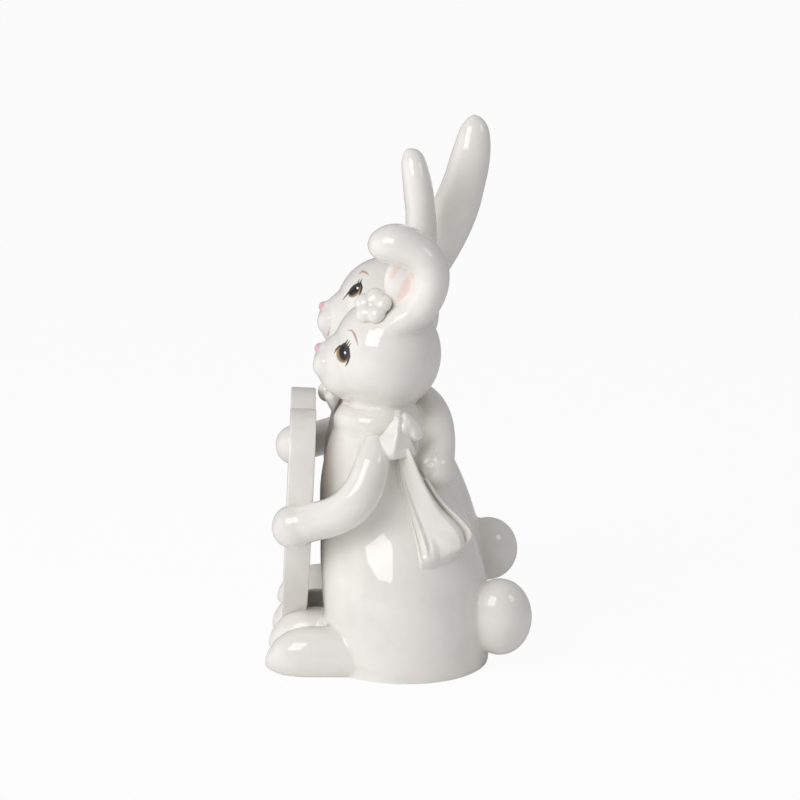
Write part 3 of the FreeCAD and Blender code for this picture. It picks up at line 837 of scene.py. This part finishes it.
muzzlePaint = [
    dab("nose", (0, -28.6, 2.1), (4.8, 2.9, 2.7), 0, 0.9, "all", 0.9),
    brush("mouth", [(0, -1.6), (0, -4.8), (2.6, -6.6), (4.4, -7.0)],
          [0.12, 0.22, 0.22, 0.08], 0.4, "front", 0.7),
]
facePaint = {
    "doe": [
        dab("irisLight", (0, -17.35, 2.15), (9, 2.55, 3.45), -6),
        dab("iris", (0, -17.1, 2.4), (9, 2.35, 3.3), -6, 0.5),
        dab("pupil", (0, -16.8, 2.8), (9, 1.95, 3.05), -6, 0.5),
        # the glint dab is a painted highlight on the pupil
        dab("glint", (0, -16.3, 3.0), (9, 0.42, 0.5), 0, 0.25),
        brush("lid", [(-20.7, 2.0), (-19.8, 3.6), (-18.5, 5.1)], [0.10, 0.30, 0.22]),
        brush("lid",
              [(-18.6, 4.7), (-16.5, 6.2), (-14.9, 4.9), (-14.5, 2.0), (-15.2, -0.4), (-16.1, -2.4)],
              [0.20, 0.50, 0.50, 0.40, 0.36, 0.12]),
        brush("lid", [(-16.4, 6.1), (-15.1, 8.3)], [0.40, 0.08]),
        brush("lid", [(-15.7, 5.9), (-14.4, 7.9)], [0.36, 0.08]),
        brush("lid", [(-15.1, 5.3), (-13.9, 7.1)], [0.32, 0.08]),
        brush("brow", [(-15.1, 11.5), (-13.6, 11.7), (-12.5, 10.5), (-11.7, 8.6), (-11.2, 6.6)],
              [0.10, 0.32, 0.50, 0.40, 0.08], 0.45, "side", 0.85),
    ],
    "buck": [
        dab("irisLight", (0, -13.2, 10.95), (9, 3.5, 1.75), 46),
        dab("iris", (0, -13.4, 11.15), (9, 3.4, 1.6), 46, 0.5),
        dab("pupil", (0, -13.55, 11.4), (9, 3.1, 1.4), 46, 0.45),
        # the glint dab is a painted highlight on the pupil
        dab("glint", (0, -12.2, 12.2), (9, 0.5, 0.42), 46, 0.25),
        brush("lid", [(-18.5, 6.6), (-16.4, 9.4), (-13.5, 12.6), (-10.9, 13.9)], [0.08, 0.28, 0.50, 0.45]),
        brush("lid", [(-10.9, 13.9), (-10.4, 12.6), (-11.0, 10.6), (-12.1, 8.5)], [0.42, 0.42, 0.32, 0.08]),
        brush("lid", [(-12.2, 13.6), (-11.5, 15.4)], [0.36, 0.08]),
        brush("lid", [(-11.3, 13.9), (-10.3, 15.8)], [0.36, 0.08]),
        brush("brow", [(-11.7, 17.3), (-10.2, 18.4), (-8.6, 18.1), (-7.6, 17.4)],
              [0.08, 0.34, 0.40, 0.08], 0.45, "side", 0.85),
        brush("mouth", [(-24.0, -4.8), (-24.9, -9.1)], [0.10, 0.34], 0.5, "side", 0.7),
    ],
}
earPaint = [
    brush("blush", [(0.2, 166.2), (-3.3, 160.6)], [0.9, 1.1], 0.8, "side", 0.75),
    brush("blush", [(4.6, 162.4), (2.4, 156.4), (-0.8, 151.2)], [0.7, 2.1, 0.8], 0.9, "side", 0.8),
]

# the pieces are luted together: one soft skin, parted again where each piece ends
lute = {
    "voxel": 0.8,
    "quickVoxel": 1.4,
    "smooth": 14,
    "reach": 10.0,
    "capDepth": 2.0,
    "flat": 0.001,
    "border": 0.1,
    "blushSoft": 3.0,
    "blushStrength": 0.4,
}
skinGlaze = {
    "doe_head": makeGlaze("doeFace", facePaint["doe"] + muzzlePaint, doeMiddle),
    "buck_head": makeGlaze("buckFace", facePaint["buck"] + muzzlePaint, buckMiddle),
    "doe_ear_left": makeGlaze("foldedEarBlush", earPaint),
}
for nodeName, (at, half, tilt) in earBlush.items():
    blush = dab("blush", (0, 0, 0), half, tilt, lute["blushSoft"], "all", lute["blushStrength"])
    skinGlaze[nodeName] = makeGlaze(nodeName + "Blush", [blush], at)


def markFaces(skin, trees):
    # each face of the skin goes to the node whose raw form is nearest
    skin.data.materials.clear()
    for nodeName in trees:
        skin.data.materials.append(bpy.data.materials.new("part_" + nodeName))
    for face in skin.data.polygons:
        best = (lute["reach"] * mm, 0)
        for place, found in enumerate(trees.values()):
            for tree in found:
                distance = tree.find_nearest(face.center, lute["reach"] * mm)[3]
                if distance is not None and distance < best[0]:
                    best = (distance, place)
        face.material_index = best[1]


def closeRim(piece):
    # the open rim is drawn into the piece and closed, and what lies below the ground is cut off
    takeUp(piece)
    bpy.ops.object.mode_set(mode="EDIT")
    bpy.ops.mesh.select_mode(type="EDGE")
    bpy.ops.mesh.select_all(action="DESELECT")
    bpy.ops.mesh.select_non_manifold(extend=False)
    bpy.ops.mesh.mark_sharp()
    bpy.ops.mesh.extrude_edges_indiv()
    work = bmesh.from_edit_mesh(piece.data)
    sinking = []
    for vertex in work.verts:
        if vertex.select:
            others = [edge.other_vert(vertex) for edge in vertex.link_edges]
            outer = [other for other in others if not other.select]
            if outer:
                sinking.append((vertex, outer[0].normal.copy()))
    for vertex, normal in sinking:
        vertex.co -= normal * lute["capDepth"] * mm
    bmesh.update_edit_mesh(piece.data)
    bpy.ops.mesh.edge_face_add()
    if min(vertex.co.z for vertex in work.verts) < 0:
        bpy.ops.mesh.select_all(action="SELECT")
        bpy.ops.mesh.bisect(plane_co=(0, 0, 0), plane_no=(0, 0, 1), use_fill=True, clear_inner=True,
                            threshold=lute["flat"] * mm)
    bpy.ops.object.mode_set(mode="OBJECT")
    bpy.ops.object.shade_smooth()


def luteForms():
    # gives the parted pieces by node, and the whole skin
    trees = {}
    forms = []
    for nodeName, parts in rawForms.items():
        parts = parts if isinstance(parts, list) else [parts]
        trees[nodeName] = []
        for part in parts:
            trees[nodeName].append(BVHTree.FromObject(part, bpy.context.evaluated_depsgraph_get()))
        forms += parts
    skin = joinUp(forms)
    soften(skin, lute["voxel"], lute["smooth"])
    print("stage: skin of", len(skin.data.polygons), "faces")
    whole = skin.copy()
    whole.data = skin.data.copy()
    scene.collection.objects.link(whole)
    markFaces(skin, trees)
    takeUp(skin)
    bpy.ops.object.mode_set(mode="EDIT")
    bpy.ops.mesh.separate(type="MATERIAL")
    bpy.ops.object.mode_set(mode="OBJECT")
    made = {}
    for piece in list(bpy.context.selected_objects):
        index = piece.data.polygons[0].material_index
        label = piece.data.materials[index if len(piece.data.materials) > 1 else 0].name
        nodeName = label.replace("part_", "").split(".")[0]
        closeRim(piece)
        piece.data.materials.clear()
        piece.data.materials.append(skinGlaze.get(nodeName, whiteGlaze))
        made[nodeName] = settle(piece, nodeName + "_glazed")
    return made, whole


skins, wholeSkin = luteForms()

fingers = {
    "wide": 1.4,
    "deep": 1.0,
    "lines": [((13.9, 90.6), (10.2, 86.6)), ((13.6, 87.6), (10.4, 83.8)), ((12.9, 84.4), (10.8, 81.6))],
}


def pressFingers(piece):
    # grooves between the fingers of the hand on the doe's back; lines are (backward, up)
    lines = [(Vector(first), Vector(last) - Vector(first)) for first, last in fingers["lines"]]
    for vertex in piece.data.vertices:
        place = Vector((vertex.co.y, vertex.co.z)) / mm
        if vertex.co.x < arm["hugEnd"][0] * mm:
            continue
        for first, step in lines:
            along = min(max((place - first).dot(step) / step.length_squared, 0), 1)
            far = (place - first - step * along).length
            if far < fingers["wide"]:
                press = fingers["deep"] * math.cos(far / fingers["wide"] * math.pi / 2) ** 2
                vertex.co -= vertex.normal * press * mm


pressFingers(skins["buck_arm_left"])


def finish(piece, nodeName):
    # a piece with its faces outward rides on the one body, in place of its node
    takeUp(piece)
    bpy.ops.object.mode_set(mode="EDIT")
    faceOutward()
    bpy.ops.object.mode_set(mode="OBJECT")
    if not piece.data.materials:
        piece.data.materials.append(whiteGlaze)
    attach(piece, "root")
    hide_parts(nodeName)
    print("   ", nodeName, len(piece.data.polygons))


for nodeName, piece in skins.items():
    finish(piece, nodeName)
    # the light runs on over the border as on the whole skin
    shapeWith(piece, "DATA_TRANSFER", object=wholeSkin, use_loop_data=True,
              data_types_loops={"CUSTOM_NORMAL"}, loop_mapping="POLYINTERP_NEAREST",
              use_max_distance=True, max_distance=lute["border"] * mm)
bpy.data.objects.remove(wholeSkin)
print("stage: pieces luted and parted")


# the heart's plate
def arcPoints(first, middle, last, count):
    # points of the arc through three points, without its last
    a, b, c = Vector(first), Vector(middle), Vector(last)
    down = 2 * (a.x * (b.y - c.y) + b.x * (c.y - a.y) + c.x * (a.y - b.y))
    squares = [point.length_squared for point in (a, b, c)]
    x = (squares[0] * (b.y - c.y) + squares[1] * (c.y - a.y) + squares[2] * (a.y - b.y)) / down
    y = (squares[0] * (c.x - b.x) + squares[1] * (a.x - c.x) + squares[2] * (b.x - a.x)) / down
    center = Vector((x, y))
    turns = [math.atan2(point.y - y, point.x - x) for point in (a, b, c)]
    sweep = (turns[2] - turns[0]) % math.tau
    if (turns[1] - turns[0]) % math.tau > sweep:
        sweep -= math.tau
    radius = (a - center).length
    made = []
    for place in range(count):
        turn = turns[0] + sweep * place / count
        made.append((x + radius * math.cos(turn), y + radius * math.sin(turn)))
    return made


def makeHeart():
    # two arcs a side, thickened, with a rolled rim and a narrow step inside it
    wide = heart["halfWide"]
    halfWay = (heart["widest"] + heart["tip"]) / 2
    notch = (0, heart["notch"])
    tip = (0, heart["tip"])
    steps = heart["arcSteps"]
    right = arcPoints(notch, (wide / 2, heart["top"]), (wide, heart["widest"]), steps)
    right += arcPoints((wide, heart["widest"]), (heartEdge(halfWay), halfWay), tip, steps)
    outline = right + [tip] + [(-x, z) for x, z in reversed(right[1:])]
    dropSelection()
    bpy.ops.mesh.primitive_circle_add(vertices=len(outline), radius=1, fill_type="NGON")
    piece = bpy.context.object
    for vertex, (x, z) in zip(piece.data.vertices, outline):
        vertex.co = (x, -heart["thick"] / 2, z)
    bpy.ops.object.mode_set(mode="EDIT")
    bpy.ops.mesh.select_all(action="SELECT")
    bpy.ops.mesh.extrude_region_move(TRANSFORM_OT_translate={"value": (0, heart["thick"], 0)})
    faceOutward()
    bpy.ops.mesh.select_all(action="DESELECT")
    bpy.ops.object.mode_set(mode="OBJECT")
    shapeWith(piece, "BEVEL", width=heart["rim"], segments=heart["rimSteps"], limit_method="ANGLE",
              angle_limit=math.radians(heart["rimAngle"]))
    for face in piece.data.polygons:
        face.select = len(face.vertices) > heart["flatCorners"]
    bpy.ops.object.mode_set(mode="EDIT")
    bpy.ops.mesh.select_mode(type="FACE")
    bpy.ops.mesh.inset(thickness=heart["inset"])
    bpy.ops.object.mode_set(mode="OBJECT")
    pivot = Vector((0, 0, heart["widest"] / 2))
    turn = Matrix.Rotation(math.radians(heart["turn"]), 4, "Z")
    lean = Matrix.Rotation(-math.radians(heart["lean"]), 4, "X")
    seat = Matrix.Translation(pivot + Vector((0, -heart["standOff"], 0)))
    piece.data.transform(turn @ seat @ lean @ Matrix.Translation(-pivot))
    piece.scale = (mm, mm, mm)
    bpy.ops.object.shade_smooth_by_angle(angle=math.radians(heart["shadeAngle"]))
    return settle(piece, "heart_glazed")


finish(makeHeart(), "heart")
print("stage: heart shaped")

# the bow's front loop, with a ridge down its middle
frontLoop = loft("scarf_loop_front_glazed", scarf["frontLoop"], (1, 0, 0), fine["ridged"])
soften(frontLoop, scarf["voxel"], scarf["smooth"])
finish(frontLoop, "scarf_loop_front")

# the scarf's ends: (backward, up) down both edges, where the edges stand off, and the pleats across
rearPleats = [(0.0, 0.0), (0.15, 1.6), (0.5, 2.2), (0.85, 2.2), (0.96, 1.4), (1.0, 0.0)]
ribbon = {
    "front": {
        "left": [(-2.4, 93.0), (-0.8, 80.0), (3.4, 65.0), (6.4, 53.0), (7.8, 45.8)],
        "right": [(3.6, 94.0), (9.2, 81.0), (15.5, 70.5), (25.0, 59.5), (26.0, 49.6)],
        "stand": [(0.0, 51.0), (0.35, 51.4), (0.7, 49.2), (1.0, 46.6)],
        "pleats": [
            (0.0, 0.0), (0.05, 1.7), (0.10, 0.8), (0.16, 2.2), (0.22, 3.4), (0.30, 1.8), (0.36, 2.3),
            (0.90, 3.0), (0.97, 2.2), (1.0, 0.0),
        ],
        "plain": [(0.0, 0.0), (0.06, 2.6), (0.22, 3.1), (0.90, 3.0), (0.97, 2.2), (1.0, 0.0)],
        "swell": [(0.0, 0.5), (0.2, 0.75), (0.55, 1.0), (0.82, 1.45), (1.0, 1.5)],
        "fall": [(0.0, 0.0), (0.86, 0.0), (0.88, 0.08), (1.0, 0.97)],
        "sag": 3.2,
        "crease": ((0.34, 0.60), (0.88, 0.86)),
        "creaseEnd": 0.97,
        "creaseSlope": 9,
        "creaseShare": 0.25,
        "creaseRun": 0.12,
    },
    "rear": {
        "left": [(6.0, 80.0), (9.0, 73.0), (14.5, 64.5), (20.0, 56.5), (21.5, 51.0)],
        "right": [(11.0, 81.0), (17.0, 72.5), (25.0, 64.6), (28.8, 59.0), (26.5, 52.6)],
        "stand": [(0.0, 50.0), (0.4, 50.2), (0.8, 48.8), (1.0, 46.6)],
        "pleats": rearPleats,
        "plain": rearPleats,
        "swell": [(0.0, 0.6), (0.5, 1.0), (0.85, 1.3), (1.0, 1.3)],
        "fall": [(0.0, 0.0), (0.86, 0.0), (0.90, 0.12), (0.95, 0.5), (1.0, 0.95)],
        "sag": 0.8,
    },
    "across": 72,
    "down": 110,
    "between": 24,
    "plainFrom": 0.68,
    "plainRun": 0.16,
    "sagPower": 6,
    "clear": 0.3,
    "sink": 1.0,
    "thick": 6.0,
    "thin": 0.2,
    "shadeAngle": 50,
}


def onLine(points, share):
    # the value of a broken line at a share
    for (first, low), (last, high) in zip(points, points[1:]):
        if share <= last:
            return low + (high - low) * (share - first) / (last - first)
    return points[-1][1]


def creaseDepth(values, u, v, rise):
    # how far the face falls below its slanted crease near the end
    if "crease" not in values:
        return 0
    (firstU, firstV), (lastU, lastV) = values["crease"]
    if not firstU < u < values["creaseEnd"]:
        return 0
    line = firstV + (lastV - firstV) * (u - firstU) / (lastU - firstU)
    deep = min(max(v - line, 0) * values["creaseSlope"], rise * values["creaseShare"])
    return deep * min((u - firstU) / values["creaseRun"], 1)


def corner(vertex):
    # a vertex and its copy in the second face lie at the same corner
    return tuple(round(value, 5) for value in vertex.co)


def makeRibbon(name, values):
    # a sheet laid on the gown, u across and v down it, with a second face drawn behind it
    dropSelection()
    bpy.ops.mesh.primitive_grid_add(x_subdivisions=ribbon["across"], y_subdivisions=ribbon["down"], size=2)
    piece = bpy.context.object
    left = rowsBetween(values["left"], ribbon["between"])
    right = rowsBetween(values["right"], ribbon["between"])
    backs = {}
    for vertex in piece.data.vertices:
        u = (vertex.co.x + 1) / 2
        v = (1 - vertex.co.y) / 2
        spot = v * (len(left) - 1)
        before = min(int(spot), len(left) - 2)
        part = spot - before
        ends = []
        for edge in (left, right):
            ends.append([edge[before][axis] * (1 - part) + edge[before + 1][axis] * part for axis in (0, 1)])
        sag = values["sag"] * math.sin(math.pi * u) * v ** ribbon["sagPower"]
        y = ends[0][0] * (1 - u) + ends[1][0] * u
        z = ends[0][1] * (1 - u) + ends[1][1] * u - sag
        plain = min(max((v - ribbon["plainFrom"]) / ribbon["plainRun"], 0), 1)
        rise = onLine(values["pleats"], u) * (1 - plain) + onLine(values["plain"], u) * plain
        rise *= onLine(values["swell"], v)
        rise -= creaseDepth(values, u, v, rise)
        base = gownSide(*ends[0]) * (1 - u) + onLine(values["stand"], v) * u
        skin = gownSide(y, z)
        x = max(base, skin + ribbon["clear"]) + rise
        x += (skin - x) * onLine(values["fall"], v)
        vertex.co = (x, y, z)
        backs[corner(vertex)] = max(skin - ribbon["sink"], x - rise - ribbon["thick"])
    bpy.ops.object.mode_set(mode="EDIT")
    bpy.ops.mesh.select_all(action="SELECT")
    bpy.ops.mesh.extrude_region_move()
    bpy.ops.object.mode_set(mode="OBJECT")
    for vertex in piece.data.vertices:
        if vertex.select:
            vertex.co.x = min(backs[corner(vertex)], vertex.co.x - ribbon["thin"])
    piece.scale = (mm, mm, mm)
    bpy.ops.object.shade_smooth_by_angle(angle=math.radians(ribbon["shadeAngle"]))
    return settle(piece, name)


for end in ("front", "rear"):
    finish(makeRibbon("scarf_tail_" + end + "_glazed", ribbon[end]), "scarf_tail_" + end)
print("stage: scarf shaped")

# bow tie of the buck
bowTie = {
    "at": (-25.0, -31.0, 101.6),
    "knot": (3.9, 4.0, 4.4),
    "rows": [
        (1.0, 0.2, 2.6, 2.2),
        (4.5, 1.0, 4.2, 2.8),
        (8.5, 2.0, 6.6, 3.5),
        (12.0, 2.8, 7.4, 3.4),
        (14.2, 3.3, 5.6, 2.2),
        (14.9, 3.5, 2.6, 0.8),
    ],
    "voxel": 0.5,
    "smooth": 6,
}
for nodeName, way in (("tie_loop_left", 1), ("tie_loop_right", -1)):
    stations = []
    for out, back, high, deep in bowTie["rows"]:
        stations.append((Vector(bowTie["at"]) + Vector((way * out, back, 0)), high, deep))
    piece = loft(nodeName + "_glazed", stations, (0, 0, 1), fine["ridged"])
    soften(piece, bowTie["voxel"], bowTie["smooth"])
    finish(piece, nodeName)
tieKnot = egg("tie_knot_glazed", bowTie["at"], bowTie["knot"])
bpy.ops.object.shade_smooth()
finish(tieKnot, "tie_knot")
print("stage: bow tie shaped")

# flower at the doe's temple
flower = {
    "out": (15.0, -6.0, 23.8),
    "stand": 25.4,
    "face": (0.74, -0.30, 0.60),
    "petals": 5,
    "ring": 3.7,
    "petal": (4.4, 4.1, 3.0),
    "cup": 6.0,
    "turn": 0.3,
    "button": (2.2, 2.2, 1.6),
    "rise": 1.3,
    "voxel": 0.35,
    "smooth": 26,
}


def makeFlower():
    at = doeMiddle + Vector(flower["out"]).normalized() * flower["stand"]
    face = Vector(flower["face"]).to_track_quat("Z", "Y").to_matrix().to_4x4()
    petals = []
    for count in range(flower["petals"]):
        petal = egg("petal", (flower["ring"], 0, 0), flower["petal"])
        cup = Matrix.Rotation(-math.radians(flower["cup"]), 4, "Y")
        spin = Matrix.Rotation(math.tau * count / flower["petals"] + flower["turn"], 4, "Z")
        petal.data.transform(Matrix.Translation(at * mm) @ face @ spin @ cup)
        petals.append(petal)
    piece = joinUp(petals)
    soften(piece, flower["voxel"], flower["smooth"])
    finish(settle(piece, "flower_petals_glazed"), "flower_petals")
    button = egg("flower_button_glazed", (0, 0, flower["rise"]), flower["button"])
    button.data.transform(Matrix.Translation(at * mm) @ face)
    takeUp(button)
    bpy.ops.object.shade_smooth()
    finish(button, "flower_button")


makeFlower()
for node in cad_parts.values():
    node.data.materials.clear()
    node.data.materials.append(whiteGlaze)
print("stage: flower shaped")

# floor and light
studio = {
    "floorSize": 40000.0,
    "floorColor": (0.92, 0.92, 0.92, 1),
    "floorRoughness": 0.9,
    "floorGlow": 0.94,
    "worldColor": (0.93, 0.94, 0.95, 1),
    "worldStrength": 0.425,
    "white": (1, 1, 1, 1),
    "aim": (0, 0, 100),
    "lamps": {
        "key": {"at": (588, -430, 672), "size": 480, "power": 2.2, "mirrored": True},
        "small": {"at": (358, 622, 660), "size": 260, "power": 0.42, "mirrored": True},
        "side": {"at": (150, -1000, 260), "size": 800, "power": 1.2, "mirrored": True},
        "fill": {"at": (677, -867, 250), "size": 700, "power": 3.7, "mirrored": False},
    },
}


def whereSeen(tree, shade, glow, share, outlet):
    # the camera's own rays get a share of the glow, and all others only the shade
    mix = tree.nodes.new("ShaderNodeMixShader")
    ray = tree.nodes.new("ShaderNodeLightPath")
    tree.links.new(scalar(tree, "MULTIPLY", ray.outputs["Is Camera Ray"], share), mix.inputs[0])
    tree.links.new(shade.outputs[0], mix.inputs[1])
    tree.links.new(glow.outputs[0], mix.inputs[2])
    tree.links.new(mix.outputs[0], outlet.inputs["Surface"])


def makeStage():
    dropSelection()
    bpy.ops.mesh.primitive_plane_add(size=studio["floorSize"] * mm, location=(0, 0, 0))
    floor = settle(bpy.context.object, "floor")
    material, tree, shader = newMaterial("paleFloor")
    shader.inputs["Base Color"].default_value = studio["floorColor"]
    shader.inputs["Roughness"].default_value = studio["floorRoughness"]
    glow = addNode(tree, "ShaderNodeEmission", Color=studio["white"], Strength=1.0)
    whereSeen(tree, shader, glow, studio["floorGlow"], tree.nodes["Material Output"])
    floor.data.materials.append(material)
    floor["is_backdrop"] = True
    world = bpy.data.worlds.new("studio")
    scene.world = world
    world.use_nodes = True
    tree = world.node_tree
    plain = tree.nodes["Background"]
    plain.inputs["Color"].default_value = studio["worldColor"]
    plain.inputs["Strength"].default_value = studio["worldStrength"]
    white = addNode(tree, "ShaderNodeBackground", Color=studio["white"], Strength=1.0)
    whereSeen(tree, plain, white, 1.0, tree.nodes["World Output"])


def makeLamps():
    # a lamp that isn't mirrored lights the glaze without a highlight
    for name, lamp in studio["lamps"].items():
        spot = Vector(lamp["at"]) * mm
        bpy.ops.object.light_add(type="AREA", location=spot)
        light = bpy.context.object
        light.name = name
        light.data.size = lamp["size"] * mm
        light.data.energy = lamp["power"]
        light.visible_glossy = lamp["mirrored"]
        aim = Vector(studio["aim"]) * mm - spot
        light.rotation_euler = aim.to_track_quat("-Z", "Y").to_euler()


makeStage()
makeLamps()
scene.view_settings.view_transform = "Standard"
print("stage: floor and light placed")

# the model's sizes, then the end
low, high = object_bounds()
